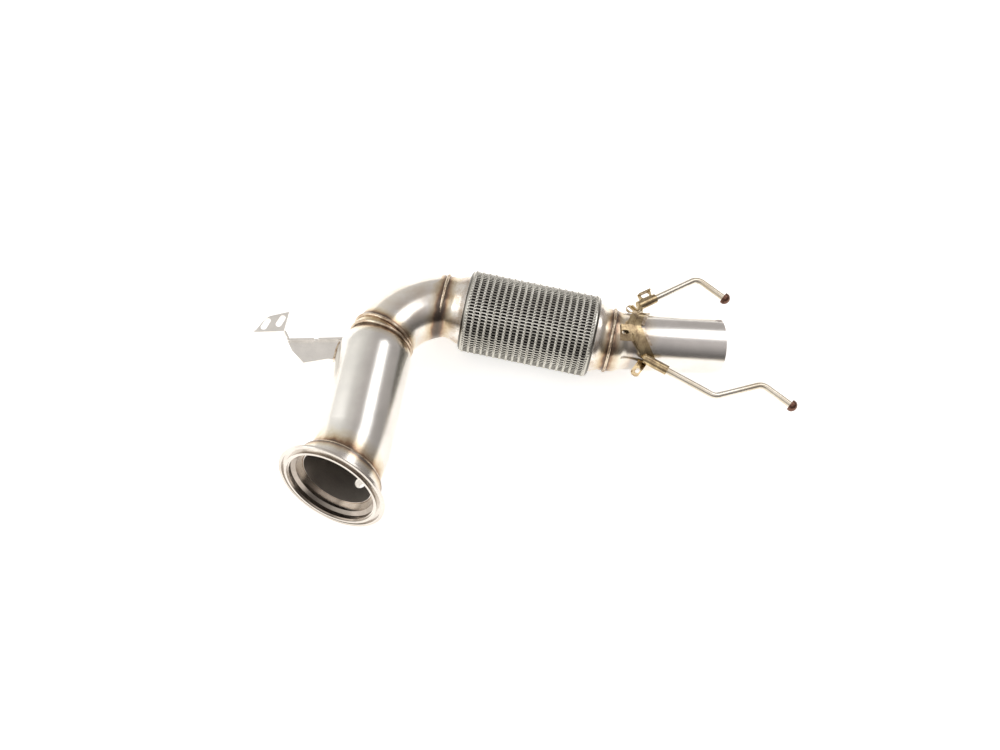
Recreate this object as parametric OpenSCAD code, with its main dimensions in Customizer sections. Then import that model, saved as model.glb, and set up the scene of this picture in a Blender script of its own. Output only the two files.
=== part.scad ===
// Turbo downpipe: a clamped inlet flange, a wide front tube, a short elbow, a braided flexible
// coupling and a plain outlet tube, with a pressed hanger saddle, two hanger rods and a side support.
// It is drawn as it lies on a level floor, the coupling along X, on its braid and its flange rim.

/* [Inlet flange] */
// Outside diameter of the flange rim
rim_od = 132.5; // [118:0.5:150]
// Width of the outer edge of the rim
rim_edge = 3; // [1.5:0.5:6]
// Angle of the clamping slope behind the rim, measured from the face
rim_slope = 20; // [10:1:30]
// Outside diameter of the raised sealing lip
lip_od = 115.5; // [106:0.5:117]
// Width of the raised sealing lip
lip_width = 3; // [2:0.5:6]
// Height of the lip in front of the rim face
lip_height = 2; // [1:0.5:4]
// Depth of the groove between lip and rim
groove_depth = 2.5; // [1:0.5:4]
// Length of the flange from rim face to tube weld
flange_length = 25; // [22:0.5:40]
// Outside diameter of the flange hub
hub_od = 103; // [100:0.5:106]
// Inside diameter of the flange at its mouth
mouth_id = 106; // [101:0.5:107]
// Depth of the mouth before its first step
mouth_depth = 5; // [3:0.5:6]
// Inside diameter behind the first step
step_id = 97; // [92:0.5:98]
// Depth at which the front tube ends inside the flange
socket_depth = 16; // [12:0.5:18]

/* [Front tube] */
// Outside diameter of the front tube
front_od = 88.9; // [80:0.1:92]
// Wall of the front tube
front_wall = 2; // [1.2:0.1:3]
// Straight length of the front tube
front_length = 105; // [90:1:140]
// Centre line radius of the slow bend at the flange
front_bend_r = 160; // [120:1:240]
// Angle of the slow bend at the flange
front_bend = 18; // [8:1:24]
// Turn of that bend about the tube
front_roll = 160; // [130:1:190]
// Tilt of the tube at its domed shoulder, towards the inside of the elbow
shoulder_tilt = 9; // [0:0.5:10]
// Length of the straight neck in front of the shoulder
neck_length = 3; // [2.5:0.5:8]
// Turn of the pipe at the lower neck weld
neck_turn = 6; // [3:0.5:9]

/* [Neck ring and elbow] */
// Length of the wedge shaped neck ring on its centre line
ring_length = 7.5; // [6.5:0.5:14]
// Turn of the pipe at the upper neck weld
ring_turn = 8; // [4:0.5:9]
// Outside diameter of the elbow
elbow_od = 76.2; // [70:0.1:80]
// Wall of the elbow, the ring and the collars
elbow_wall = 2; // [1.2:0.1:3]
// Centre line radius of the elbow
elbow_r = 95.25; // [80:0.25:130]
// Angle of the elbow
elbow_angle = 45; // [35:1:55]
// Straight tangent at each end of the elbow
elbow_tangent = 9; // [7:0.5:20]
// Turn of the elbow about its own inlet against the coupling
neck_roll = -13; // [-25:1:10]
// Turn of the pipe at the weld between elbow and coupling
elbow_turn = 25; // [10:1:26]

/* [Flexible coupling] */
// Outside diameter over the braid ribs
braid_od = 102; // [96:0.5:108]
// Length of the braid from rim to rim
braid_length = 163; // [130:1:200]
// Number of raised ribs in the braid
rib_count = 20; // [10:1:20]
// Height of a braid rib
rib_height = 1.6; // [0.8:0.1:2.2]
// Wall of the braid sleeve under the ribs
braid_wall = 1.4; // [0.8:0.1:2]
// Openings around the braid in each pierced row
gaps_around = 6; // [4:1:6]
// Width of a braid opening, along the coupling
gap_width = 3; // [1.5:0.1:3.5]
// Height of a braid opening, around the coupling
gap_height = 2.2; // [1.5:0.1:3.5]
// Length of the end ring
end_ring_length = 5; // [3:0.5:9]
// Wall of the end ring
end_ring_wall = 1.5; // [1:0.1:2.5]
// Outside diameter of the bellows convolutions
bellows_od = 93; // [88:0.5:94]
// Inside diameter of the bellows convolutions
bellows_id = 80; // [78.5:0.5:82]
// Wall of the bellows
bellows_wall = 0.8; // [0.5:0.1:1.2]
// Number of bellows convolutions
bellows_count = 14; // [8:1:20]
// Outside diameter of the interlocked liner
liner_od = 74; // [68:0.5:75]
// Wall of the liner
liner_wall = 1.2; // [0.8:0.1:1.8]
// Number of liner laps
liner_laps = 12; // [8:1:18]
// Length of the inlet collar in front of the braid
inlet_collar_length = 27.5; // [22:0.5:40]
// Outside diameter of both collars where they meet the braid
collar_od = 86; // [83:0.5:87]
// Length of the outlet collar behind the braid
outlet_collar_length = 19.5; // [14:0.5:34]

/* [Outlet tube] */
// Outside diameter of the outlet tube
outlet_od = 70; // [63:0.1:73]
// Wall of the outlet tube
outlet_wall = 1.8; // [1.2:0.1:3]
// Length of the outlet tube from its weld to its plain end
outlet_length = 140.5; // [115:0.5:190]
// Outside diameter of collar and tube at the outlet weld
swage_od = 77; // [74:0.5:80]
// Distance from the outlet weld to the end of the taper
swage_length = 15.5; // [12:0.5:16]
// Turn of the pipe at the outlet weld
outlet_turn = 14; // [4:0.5:16]
// Direction of that turn, about the coupling
outlet_roll = -16; // [-30:1:0]

/* [Welds] */
// Radius of the bead at the tube welds
bead_r = 2.2; // [1.5:0.1:3]
// Leg of the fillet at the flange weld
flange_fillet = 4; // [2.5:0.1:5]

/* [Sensor boss] */
// Bore of the sensor boss, the minor diameter of its thread
boss_bore = 16.4; // [14:0.1:18]
// Outside diameter of the sensor boss
boss_od = 24; // [22:0.5:25]
// Height of the boss above the tube
boss_height = 9; // [6:0.5:10]
// Distance of the boss from the flange weld, along the slow bend
boss_station = 17; // [17:0.5:30]
// Position of the boss about the tube, from the inside of the slow bend
boss_angle = 148; // [130:1:170]

/* [Hanger saddle] */
// Thickness of the saddle sheet
saddle_sheet = 2; // [1.5:0.1:3]
// Distance of the saddle's crown from the outlet weld
saddle_station = 16.5; // [16.5:0.5:24]
// Width of the saddle strap along the tube
saddle_width = 14; // [10:0.5:20]
// Reach of the saddle strap about the tube, to each side
saddle_reach = 72; // [60:1:80]
// Sweep of the strap downstream for each millimetre sideways
strap_side = 0.3; // [0:0.05:0.5]
// Sweep of the strap downstream for each millimetre down
strap_down = 0.5; // [0.2:0.05:0.7]
// Outside radius of the half round bead pressed in the strap
press_r = 4; // [3:0.1:4.5]
// Reach of the pressed bead about the tube, to each side
press_reach = 62; // [50:1:66]
// Length of the slotted foot in front of the crown
foot_length = 12; // [10:0.5:12]
// Half of the foot's spread about the tube
foot_spread = 15; // [12:0.5:20]
// Position of the foot about the tube, towards the near side
foot_angle = 16; // [0:1:25]
// Length of the near ear
near_ear = 26; // [18:0.5:32]
// Length of the far ear
far_ear = 17; // [14:0.5:24]
// Width of an ear
ear_width = 11; // [9:0.5:14]
// Width of the slotted wing on the far limb
wing_width = 14; // [12:0.5:18]

/* [Hanger rods] */
// Diameter of the hanger rods
rod_d = 8; // [6:0.5:8.5]
// Height of both rods above the outlet tube's axis
rod_height = 19; // [17:0.5:24]
// Distance of the far rod from the tube's axis, at its anchor
far_offset = 43; // [42:0.5:48]
// Distance of the near rod from the tube's axis, at its anchor
near_offset = 37; // [36.5:0.5:44]
// Station of both anchors behind the outlet weld
anchor_station = 40; // [36:0.5:46]
// Splay of the rods from the tube's axis
rod_splay = 30; // [20:1:38]
// Length of the far rod from its anchor to its bend
far_run = 91; // [60:1:110]
// Length of the near rod from its anchor to its first bend
near_run = 92; // [60:1:110]
// Length of the near rod between its two bends
near_step = 67; // [50:1:90]
// Angle of that middle stretch from the tube's axis
step_angle = 17.5; // [5:0.5:30]
// Angle of both hanger pegs from the tube's axis
peg_angle = 40; // [32:1:50]
// Length of a hanger peg from its bend to the end of the rod
peg_length = 46; // [36:1:60]
// Centre line radius of the rod bends
rod_bend_r = 13; // [10:0.5:16]
// Diameter of the cap on a peg
cap_d = 14.5; // [13:0.5:20]
// Height of the cap's dome
cap_dome = 5; // [3:0.5:6]
// Length of the cap's straight brim
cap_brim = 4; // [3.5:0.5:8]
// Length of the peg inside its cap
cap_seat = 5; // [4:0.5:6]
// Outside radius of the rolled sleeves that hold the rods
sleeve_r = 6; // [5.5:0.1:6.5]
// Length of the far sleeve past its anchor
far_sleeve = 22; // [18:0.5:30]
// Length of the near sleeve past its anchor
near_sleeve = 27; // [18:0.5:32]

/* [Side support] */
// Thickness of the support sheet
support_sheet = 2.5; // [1.5:0.1:4]
// Reach of the support arm from the tube's axis
arm_reach = 106; // [90:0.5:120]
// Sweep of the arm's far edge, towards the flange
arm_sweep = 13; // [8:0.5:18]
// Width of the support arm at the tube
arm_width = 30; // [22:0.5:36]
// Position of the arm's far edge at the tube, in front of the shoulder's centre
arm_start = 19; // [15:0.5:22]
// Height of the folded lip along the arm
arm_lip = 4; // [3:0.5:8]
// Rise of the tab above the arm
tab_rise = 8; // [5:0.5:14]
// Gap in reach between the arm and the tab
tab_gap = 5; // [4:0.5:10]
// Width of the slotted tab along its near edge
tab_width = 34; // [30:0.5:44]
// Depth of the slotted tab at its inner edge
tab_depth = 28; // [27:0.5:36]
// Slope of the tab's near edge
tab_slope = 14; // [5:0.5:20]
// Lean of the tab's outer edge and of its slots
tab_lean = 15; // [5:0.5:20]
// Length of the slots in the tab
slot_length = 17; // [12:0.5:17]
// Width of the slots in the tab
slot_width = 7; // [5:0.5:8]
// Height of the folded web below the tab
web_height = 17; // [14:0.5:26]

/* [Hidden] */
$fn = 96;
LAP = 0.4; // pieces of one tube overlap by this length
SKIN = 0.03; // and a bend is this much thinner, so that its ends lie inside the straight pieces
BIG = 400;
WELD_GAP = 0.05; // each of two beads that meet ends this far from the plane between them
SEAT = 0.02; // a boss weld, an arm and its weld lie this close to what they are welded to
STEEL = [0.78, 0.76, 0.73];
TINT = [0.55, 0.42, 0.28];

rim_r = rim_od / 2;
lip_r = lip_od / 2;
hub_r = hub_od / 2;
front_r = front_od / 2;
front_ri = front_r - front_wall;
elbow_ro = elbow_od / 2;
elbow_ri = elbow_ro - elbow_wall;
swage_r = swage_od / 2;
outlet_r = outlet_od / 2;
outlet_ri = outlet_r - outlet_wall;
braid_r = braid_od / 2;
rod_r = rod_d / 2;

// Matrices: each frame is written once and serves both placing and measuring.
function shift(v) = [[1, 0, 0, v[0]], [0, 1, 0, v[1]], [0, 0, 1, v[2]], [0, 0, 0, 1]];
function turn_x(a) = [[1, 0, 0, 0], [0, cos(a), -sin(a), 0], [0, sin(a), cos(a), 0], [0, 0, 0, 1]];
function turn_y(a) = [[cos(a), 0, sin(a), 0], [0, 1, 0, 0], [-sin(a), 0, cos(a), 0], [0, 0, 0, 1]];
function turn_z(a) = [[cos(a), -sin(a), 0, 0], [sin(a), cos(a), 0, 0], [0, 0, 1, 0], [0, 0, 0, 1]];
function bend(r, a) = shift([r, 0, 0]) * turn_y(a) * shift([-r, 0, 0]);
function at(m, p) = [for (i = [0:2]) m[i][0] * p[0] + m[i][1] * p[1] + m[i][2] * p[2] + m[i][3]];
function axis(m, j) = [for (i = [0:2]) m[i][j]];

// Upstream chain, from the braid to the flange: Z runs towards the flange, X to the bend's inside.
// The tube leaves a dome of its own radius, so neck and tube may meet at any tilt.
dome_h = sqrt(front_r * front_r - elbow_ro * elbow_ro);
u_braid = [[0, 0, -1, -braid_length / 2], [-1, 0, 0, 0], [0, 1, 0, 0], [0, 0, 0, 1]];
u_elbow_seam = u_braid * shift([0, 0, inlet_collar_length]);
u_elbow_in = u_elbow_seam * turn_y(elbow_turn);
u_arc_in = u_elbow_in * shift([0, 0, elbow_tangent]);
u_arc_out = u_arc_in * bend(elbow_r, elbow_angle) * turn_z(neck_roll);
u_upper_seam = u_arc_out * shift([0, 0, elbow_tangent]);
u_ring = u_upper_seam * turn_y(ring_turn);
u_lower_seam = u_ring * shift([0, 0, ring_length]);
u_neck = u_lower_seam * turn_y(neck_turn);
u_dome = u_neck * shift([0, 0, neck_length + dome_h]);
u_front = u_dome * turn_y(shoulder_tilt);
u_slow_in = u_front * turn_z(front_roll) * shift([0, 0, front_length]);
u_hub = u_slow_in * bend(front_bend_r, front_bend);
u_face = u_hub * shift([0, 0, flange_length]);
boss_turn = front_bend - boss_station / front_bend_r * 180 / PI;
u_boss = u_slow_in * bend(front_bend_r, boss_turn) * turn_z(boss_angle) * turn_y(90);

// Downstream chain, from the braid to the plain outlet end: Z runs downstream.
d_start = [[0, 0, 1, -braid_length / 2], [1, 0, 0, 0], [0, 1, 0, 0], [0, 0, 0, 1]];
d_braid = d_start * shift([0, 0, braid_length]);
d_seam = d_braid * shift([0, 0, outlet_collar_length]) * turn_z(outlet_roll);
d_outlet = d_seam * turn_y(outlet_turn);

// Lie on the floor: the chain is rolled about the coupling until the rim touches the floor too.
function disc_low(m, r) = m[2][3] - r * sqrt(1 - m[2][2] * m[2][2]);
function rim_low(a) = let (m = turn_x(a) * u_face)
    min(disc_low(m, rim_r), disc_low(m * shift([0, 0, -rim_edge]), rim_r),
        disc_low(m * shift([0, 0, lip_height]), lip_r));
function find_lie(lo, hi, n) = let (mid = (lo + hi) / 2)
    n == 0 ? mid : rim_low(mid) > -braid_r ? find_lie(mid, hi, n - 1) : find_lie(lo, mid, n - 1);
lie = find_lie(-30, 10, 40);
laid = shift([0, 0, braid_r]) * turn_x(lie);

// Upright frames on the outlet tube and on the front tube: Y up, Z along the tube.
function upright(m) = let (w = laid * m) m * turn_z(atan2(-w[2][0], w[2][1]));
hanger = upright(d_outlet);
support = upright(u_front);

// Rod routes in the hanger frame, as pairs of side and station at one height.
function go(p, a, l) = p + l * [sin(a), cos(a)];
far_anchor = [far_offset, anchor_station];
far_knee = go(far_anchor, rod_splay, far_run);
far_end = go(far_knee, -peg_angle, peg_length);
near_anchor = [-near_offset, anchor_station];
near_knee = go(near_anchor, -rod_splay, near_run);
near_heel = go(near_knee, step_angle, near_step);
near_end = go(near_heel, -peg_angle, peg_length);
cap_ball = (cap_d * cap_d / 4 + cap_dome * cap_dome) / (2 * cap_dome);

// Support outline in the support frame, as pairs of side and station.
arm_out = [-arm_reach, -arm_start + tan(arm_sweep) * (arm_reach - front_r)];
arm_low = arm_out + [26, 27];
tab_in = arm_out + [-tab_gap, -7];
tab_far = tab_in - [0, tab_depth];
tab_out = tab_in + tab_width * [-1, tan(tab_slope)];
tab_top = tab_out + (tab_depth - 1) * [sin(tab_lean), -cos(tab_lean)];
slot_mid = (tab_in + tab_out + tab_top + tab_far) / 4;
slot_step = [8.2, -3.7];

// The whole part is centred over the origin from the outermost point on each side.
function reach(m, r, v) = let (n = axis(m, 2) * v) at(m, [0, 0, 0]) * v + r * sqrt(1 - n * n);
function rod_frame(p, a) = hanger * shift([p[0], rod_height, p[1]]) * turn_y(a);
function knee_centre(k, a, b) = go(k, (a + b) / 2 - 90, rod_bend_r / cos((a - b) / 2));
function knee_reach(k, a, b, v) = let (m = laid * hanger, c = knee_centre(k, a, b),
    h = max(b, min(a, atan2(-axis(m, 2) * v, axis(m, 0) * v))),
    p = c + rod_bend_r * [cos(h), -sin(h)])
    at(m, [p[0], rod_height, p[1]]) * v + rod_r;
function cap_reach(p, v) = at(laid * rod_frame(p, -peg_angle), [0, 0, peg_tip - cap_ball]) * v + cap_ball;
peg_tip = cap_brim - cap_seat + cap_dome;
low_x = min([for (y = [tab_rise + support_sheet / 2, tab_rise - web_height])
    at(laid * support, [tab_out[0], y, tab_out[1]])[0]]);
high_x = cap_reach(near_end, [1, 0, 0]);
low_y = -max(reach(laid * u_face, rim_r, [0, -1, 0]),
             reach(laid * u_face * shift([0, 0, lip_height]), lip_r, [0, -1, 0]));
high_y = knee_reach(far_knee, rod_splay, -peg_angle, [0, 1, 0]);
WORLD = shift([-(low_x + high_x) / 2, -(low_y + high_y) / 2, 0]) * laid;

module place(m) { multmatrix(WORLD * m) children(); }
module ahead() { translate([-BIG / 2, -BIG / 2, 0]) cube(BIG); }
module behind() { translate([-BIG / 2, -BIG / 2, -BIG]) cube(BIG); }
module turned(outline) { rotate_extrude() polygon(outline); }

// A straight tube; its seam is turned away from the plane of the bends.
module tube(ro, ri, z0, z1) {
    rotate([0, 0, 70]) translate([0, 0, z0]) difference() {
        cylinder(h = z1 - z0, r = ro);
        translate([0, 0, -1]) cylinder(h = z1 - z0 + 2, r = ri);
    }
}

// A bend that starts at the origin along Z and turns towards X; ri of 0 makes it solid.
module shell_arc(ro, ri, major, a) { arc(ro - SKIN, ri + SKIN, major, a); }
module arc(ro, ri, major, a) {
    translate([major, 0, 0]) rotate([90, 0, 0]) rotate([0, 0, 180 - a])
        rotate_extrude(angle = a) translate([major, 0]) difference() {
            circle(r = ro);
            if (ri > 0) circle(r = ri);
        }
}

// A weld on a mitre: a ring on the mitre plane without the two tubes that meet there. The seams
// of the round surfaces are turned away from the plane in which the tubes lie.
module mitre_weld(seam, turn, r, rb) {
    plane = seam * turn_y(turn / 2);
    difference() {
        place(plane * turn_z(50)) rotate_extrude() translate([r + 0.2, 0]) circle(r = rb, $fn = 32);
        difference() {
            place(seam * turn_z(70)) translate([0, 0, -30]) cylinder(h = 60, r = r);
            place(plane) ahead();
        }
        difference() {
            place(seam * turn_y(turn) * turn_z(70)) translate([0, 0, -30]) cylinder(h = 60, r = r);
            place(plane) behind();
        }
    }
}

// Inlet flange
module turbo_flange() {
    neck_z = -rim_edge - (rim_r - hub_r) * tan(rim_slope);
    color(STEEL) place(u_face) turned([
        [mouth_id / 2, 0], [lip_r - lip_width, 0], [lip_r - lip_width, lip_height],
        [lip_r, lip_height], [lip_r, -groove_depth], [rim_r - 4, -groove_depth], [rim_r - 4, 0],
        [rim_r - 0.6, 0], [rim_r, -0.6], [rim_r, -rim_edge], [hub_r + 1.5, neck_z + 0.5],
        [hub_r, neck_z - 1.5], [hub_r, -flange_length + 0.8], [hub_r - 0.8, -flange_length],
        [front_r, -flange_length], [front_r, -socket_depth], [step_id / 2, -socket_depth],
        [step_id / 2, -mouth_depth - 3], [mouth_id / 2, -mouth_depth]]);
}

module flange_weld() {
    w = hub_r - front_r - 1;
    color(TINT) place(u_hub) turned(concat([[front_r, 0]],
        [for (t = [0:10:90]) [front_r + w * cos(t), -flange_fillet * sin(t)]]));
}

// Front tube
module front_tube() {
    color(STEEL) difference() {
        union() {
            difference() {
                place(u_neck) tube(elbow_ro, elbow_ri, -10, neck_length + LAP);
                place(u_lower_seam * turn_y(neck_turn / 2)) behind();
            }
            difference() {
                place(u_dome) sphere(front_r - SKIN);
                place(u_dome) sphere(front_ri + SKIN);
                place(u_dome * shift([0, 0, -dome_h])) behind();
                place(u_front) ahead();
            }
            place(u_front) tube(front_r, front_ri, -LAP, front_length + LAP);
            place(u_slow_in) shell_arc(front_r, front_ri, front_bend_r, front_bend);
            place(u_hub) tube(front_r, front_ri, -LAP, flange_length - socket_depth);
        }
        place(u_boss) translate([0, 0, front_ri - 8]) cylinder(h = 14, r = boss_bore / 2);
    }
}

module sensor_boss() {
    color(STEEL) difference() {
        place(u_boss) tube(boss_od / 2, boss_bore / 2, front_r - 5, front_r + boss_height);
        place(u_slow_in) arc(front_r, 0, front_bend_r, front_bend);
    }
}

module sensor_boss_weld() {
    r = boss_od / 2 + SEAT;
    color(TINT) difference() {
        place(u_boss * turn_z(50)) turned([
            [r, front_r - 5], [r + bead_r, front_r - 5], [r + bead_r, front_r - 1.4],
            [r + bead_r * 0.8, front_r + 0.2], [r + bead_r * 0.4, front_r + 1.2], [r, front_r + 1.5]]);
        place(u_slow_in * bend(front_bend_r, boss_turn) * turn_z(20))
            translate([0, 0, -40]) cylinder(h = 80, r = front_r);
    }
}

// Neck and elbow
// The two neck beads run together on the inside of the bend, where each ends at the ring's middle.
module lower_neck_weld() {
    color(TINT) difference() {
        mitre_weld(u_lower_seam, neck_turn, elbow_ro, bead_r);
        place(u_ring * shift([0, 0, ring_length / 2 + WELD_GAP])) behind();
        place(u_dome * turn_z(70)) sphere(front_r);
    }
}
module upper_neck_weld() {
    color(TINT) difference() {
        mitre_weld(u_upper_seam, ring_turn, elbow_ro, bead_r);
        place(u_ring * shift([0, 0, ring_length / 2 - WELD_GAP])) ahead();
    }
}
module elbow_weld() { color(TINT) mitre_weld(u_elbow_seam, elbow_turn, elbow_ro, bead_r); }
module outlet_weld() { color(TINT) mitre_weld(d_seam, outlet_turn, swage_r, bead_r); }

module neck_ring() {
    color(STEEL) difference() {
        place(u_ring) tube(elbow_ro, elbow_ri, -10, ring_length + 10);
        place(u_upper_seam * turn_y(ring_turn / 2)) behind();
        place(u_lower_seam * turn_y(neck_turn / 2)) ahead();
    }
}

module elbow() {
    color(STEEL) difference() {
        union() {
            place(u_elbow_in) tube(elbow_ro, elbow_ri, -15, elbow_tangent + LAP);
            place(u_arc_in) shell_arc(elbow_ro, elbow_ri, elbow_r, elbow_angle);
            place(u_arc_out) tube(elbow_ro, elbow_ri, -LAP, elbow_tangent + 10);
        }
        place(u_elbow_seam * turn_y(elbow_turn / 2)) behind();
        place(u_upper_seam * turn_y(ring_turn / 2)) ahead();
    }
}

// Flexible coupling
// Both collars share one outline: a cuff inside the braid, a flare, and a plain end at the seam.
collar_r = collar_od / 2;
cuff = 12;
cuff_ri = collar_r - elbow_wall;
module collar(end_r, flare_end, seam, turn, length) {
    difference() {
        turned([[collar_r, -cuff], [collar_r, 3], [end_r, flare_end], [end_r, length + 16],
                [end_r - elbow_wall, length + 16], [end_r - elbow_wall, flare_end],
                [cuff_ri, 3], [cuff_ri, -cuff]]);
        multmatrix(shift([0, 0, length]) * seam * turn_y(turn / 2)) ahead();
    }
}

module inlet_collar() {
    color(STEEL) place(u_braid)
        collar(elbow_ro, inlet_collar_length - 11, shift([0, 0, 0]), elbow_turn, inlet_collar_length);
}

module outlet_collar() {
    color(STEEL) place(d_braid)
        collar(swage_r, outlet_collar_length - 8, turn_z(outlet_roll), outlet_turn, outlet_collar_length);
}

cuff_r = collar_r + bellows_wall;
fold_r = cuff_r + braid_wall;
base_r = braid_r - rib_height;
corner = base_r - fold_r;
fold_z = 6;
module end_ring() {
    turned([[fold_r, 0], [fold_r + end_ring_wall - 0.5, 0], [fold_r + end_ring_wall, 0.5],
            [fold_r + end_ring_wall, end_ring_length - 0.5],
            [fold_r + end_ring_wall - 0.5, end_ring_length], [fold_r, end_ring_length]]);
}
module inlet_end_ring() { color(STEEL) place(d_start) end_ring(); }
module outlet_end_ring() { color(STEEL) place(d_braid) mirror([0, 0, 1]) end_ring(); }

// The braid: a sleeve with rounded shoulders, raised ribs around it and rows of gaps between them.
rib_from = fold_z + corner + 1;
rib_pitch = (braid_length - 2 * rib_from) / (rib_count - 1);
function back(path) = [for (i = [len(path) - 1:-1:0]) path[i]];
function far_end_of(path) = [for (p = path) [p[0], braid_length - p[1]]];
function shoulder(r) = [for (t = [0:15:90]) [fold_r + r * sin(t), fold_z + corner - r * cos(t)]];
function rib(z) = [[base_r, z - 2.1], [braid_r - 0.5, z - 1.3], [braid_r, z - 0.6], [braid_r, z + 0.6],
                   [braid_r - 0.5, z + 1.3], [base_r, z + 2.1]];
module flex_braid() {
    skin = concat([[fold_r, 0]], shoulder(corner));
    ribs = [for (i = [0:rib_count - 1]) each rib(rib_from + i * rib_pitch)];
    lining = concat([[cuff_r, 0], [cuff_r, fold_z + braid_wall]], shoulder(corner - braid_wall));
    color(STEEL) place(d_start) difference() {
        turned(concat(skin, ribs, back(far_end_of(skin)), far_end_of(lining), back(lining)));
        for (row = [0:rib_count - 2], k = [0:gaps_around - 1])
            translate([0, 0, rib_from + (row + 0.5) * rib_pitch])
                rotate([0, 0, (k + (row % 2) / 2) * 360 / gaps_around]) rotate([0, 90, 0])
                    translate([-gap_width / 2, -gap_height / 2, base_r - 6])
                        cube([gap_width, gap_height, 10]);
    }
}

// The bellows: an even wave between two cuffs that sit on the collars.
wave_from = cuff + 3;
wave_pitch = (braid_length - 2 * wave_from) / bellows_count;
function wave(shift_r) = [for (i = [0:bellows_count * 6])
    [(bellows_od + bellows_id) / 4 - bellows_wall / 2 + shift_r
     + ((bellows_od - bellows_id) / 4 - bellows_wall / 2) * -cos(i * 60), wave_from + i * wave_pitch / 6]];
module flex_bellows() {
    color(STEEL) place(d_start) turned(concat(
        [[cuff_r, 1], [cuff_r, wave_from - 2.5]], wave(bellows_wall),
        far_end_of([[cuff_r, wave_from - 2.5], [cuff_r, 1], [collar_r, 1], [collar_r, wave_from - 2.5]]),
        back(wave(0)), [[collar_r, wave_from - 2.5], [collar_r, 1]]));
}

// The liner: interlocked laps between two flared ends that sit in the collars.
liner_r = liner_od / 2;
flare_to = cuff + 4;
lap_pitch = (braid_length - 2 * flare_to) / liner_laps;
module flex_liner() {
    laps = [for (i = [0:liner_laps - 1]) each let (z = flare_to + i * lap_pitch)
        [[liner_r - 0.4, z + 0.5], [liner_r - 0.4, z + lap_pitch / 2], [liner_r, z + lap_pitch / 2 + 0.5],
         [liner_r, z + lap_pitch]]];
    flare = [[cuff_ri, 1], [cuff_ri, cuff - 4], [liner_r, flare_to]];
    color(STEEL) place(d_start) turned(concat(flare, laps, back(far_end_of(flare)),
        far_end_of([for (p = flare) p - [liner_wall, 0]]),
        back([for (p = laps) p - [liner_wall, 0]]), back([for (p = flare) p - [liner_wall, 0]])));
}

// Outlet tube
module outlet_tube() {
    color(STEEL) difference() {
        place(d_outlet * turn_z(70)) turned([
            [swage_r, -8], [swage_r, 5.5], [outlet_r, swage_length], [outlet_r, outlet_length - 0.4],
            [outlet_r - 0.4, outlet_length], [outlet_ri, outlet_length], [outlet_ri, swage_length],
            [swage_r - outlet_wall, 5.5], [swage_r - outlet_wall, -8]]);
        place(d_seam * turn_y(outlet_turn / 2)) behind();
    }
}

// Hanger saddle: side is -1 on the near side of the tube and 1 on the far side
lean = sqrt(1 + strap_side * strap_side + strap_down * strap_down);
strap_mid = saddle_station + saddle_width / 2;
press_mid = saddle_station + 2.5;
weld_width = 3;
edge_mid = strap_mid + lean * (saddle_width + weld_width) / 2;
module anchored() { place(hanger) children(); }

// A leaning band on the tube: the part of a sleeve between two parallel planes that lean
// downstream towards the side and the underside of the tube.
module band(side, z, width, from, to, ri, ro) {
    intersection() {
        rotate([0, 0, side < 0 ? 90 + from : 90 - to]) rotate_extrude(angle = to - from)
            translate([ri, 0]) square([ro - ri, 90]);
        multmatrix(shift([0, outlet_r, z]) * turn_y(-side * atan(strap_side))
                   * turn_x(-atan(strap_down * cos(side * atan(strap_side)))))
            translate([-BIG / 2, -BIG / 2, -width / 2]) cube([BIG, BIG, width]);
    }
}
function on_tube(side, r, a, z) = [side * r * sin(a), r * cos(a),
    z + strap_side * r * sin(a) - strap_down * (r * cos(a) - outlet_r)];
// A strap with its pressed bead, from the crown down one side; side 0 joins both at the crown.
module strap(side) {
    top = outlet_r + saddle_sheet;
    from = side == 0 ? -1 : 0.15;
    thin = side == 0 ? SKIN : 0;
    trim = side == 0 ? 0.5 : 0;
    band(side, strap_mid, saddle_width - trim, from, side == 0 ? 1 : saddle_reach,
         outlet_r + thin, top - thin);
    band(side, press_mid, 7.4 - trim, from + 0.1, side == 0 ? 0.9 : press_reach,
         top - 1.2 + thin, top + press_r * 0.45 - thin);
    band(side, press_mid, 4.6 - trim, from + 0.2, side == 0 ? 0.8 : press_reach - 1,
         top - 0.6 + thin, top + press_r * 0.8 - thin);
}
module rod_line(p, a, from, to, r) {
    translate([p[0], rod_height, p[1]]) rotate([0, a, 0]) translate([0, 0, from])
        cylinder(h = to - from, r = r);
}
module link(p, q, r) {
    v = q - p;
    translate(p) rotate([0, acos(v[2] / norm(v)), atan2(v[1], v[0])])
        cylinder(h = norm(v), r = r, $fn = 32);
}

// A flat ear: a plate with an oval hole and a folded lip along one edge.
module oval(l, w) {
    translate([-(l - w) / 2, -w / 2]) square([l - w, w]);
    for (s = [-1, 1]) translate([s * (l - w) / 2, 0]) circle(r = w / 2, $fn = 32);
}
module plate(y, t) { translate([0, y + t / 2, 0]) rotate([90, 0, 0]) linear_extrude(t) children(); }
module ear(root, a, y, length, hole) {
    t = saddle_sheet;
    w = ear_width / 2;
    translate([root[0], y, root[1]]) rotate([0, a, 0]) difference() {
        union() {
            plate(0, t) polygon([[-w, -6], [w, -6], [w, length - 3], [w - 3, length],
                                 [3 - w, length], [-w, length - 3]]);
            translate([-w, -t / 2, 3]) cube([t, 4, length - 6]);
        }
        plate(0, 3 * t) translate([1, hole]) rotate(90) oval(9, 4.5);
    }
}
near_root = [-outlet_r + 2, outlet_r + 3];
far_root = [outlet_r - 9, outlet_r - 2];

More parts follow.
